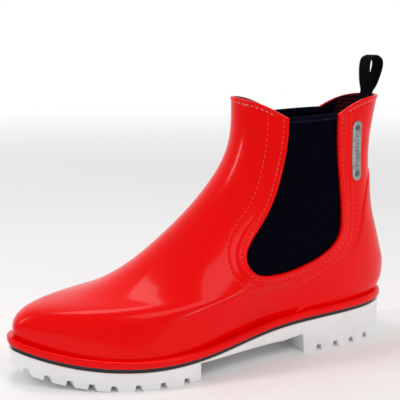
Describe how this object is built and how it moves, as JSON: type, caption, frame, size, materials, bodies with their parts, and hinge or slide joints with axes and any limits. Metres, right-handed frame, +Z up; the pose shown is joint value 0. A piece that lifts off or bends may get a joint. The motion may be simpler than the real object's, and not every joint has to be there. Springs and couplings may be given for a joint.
{
  "type": "rain boot",
  "caption": "Ankle-high rubber rain boot for the left foot with elastic side gores, lugged sole with block heel and a webbing pull loop at the back.",
  "frame": {"origin": "on the ground under the middle of the boot's box", "axes": "+Y from toe to heel, along the boot's length; +X to the outer side of the left foot; +Z up"},
  "size_m": [0.1002, 0.2912, 0.2087],
  "materials": {
    "red_rubber": "glossy moulded rubber",
    "red_thread": "thick waxed thread",
    "elastic": "ribbed elastic webbing",
    "binding_tape": "flat woven tape",
    "lining_knit": "ribbed knit",
    "black_rubber": "satin",
    "white_rubber": "matt moulded rubber",
    "sponge": "closed-cell foam",
    "board": "pressed fibre board",
    "footbed_cloth": "brushed cloth",
    "webbing": "woven webbing",
    "black_thread": "thread",
    "badge_metal": "brushed"
  },
  "bodies": {
    "boot": {"upper_shell": "red_rubber", "heel_counter": "red_rubber", "outer_gore_surround": "red_rubber", "inner_gore_surround": "red_rubber", "welt_band": "red_rubber", "outer_gore_stitching": "red_thread", "inner_gore_stitching": "red_thread", "outer_gore": "elastic", "inner_gore": "elastic", "outer_gore_binding": "binding_tape", "inner_gore_binding": "binding_tape", "vamp_lining": "lining_knit", "quarter_lining": "lining_knit", "midsole_stripe": "black_rubber", "outsole": "white_rubber", "heel_filler": "sponge", "insole_board": "board", "footbed_foam": "sponge", "footbed_cover": "footbed_cloth", "pull_loop_tab": "webbing", "pull_loop_stitching": "black_thread", "badge_plate": "badge_metal", "badge_rivets": "badge_metal", "rivet_washers": "badge_metal"},
    "loop": {"pull_loop": "webbing"}
  },
  "joints": [
    {"name": "pull_loop_fold", "type": "hinge", "parent": "boot", "child": "loop", "pos_m": [0.00475, 0.1247, 0.1827], "axis": [1, 0, 0], "range_deg": [-60, 80], "stiffness_Nm_per_rad": 0.003}
  ]
}
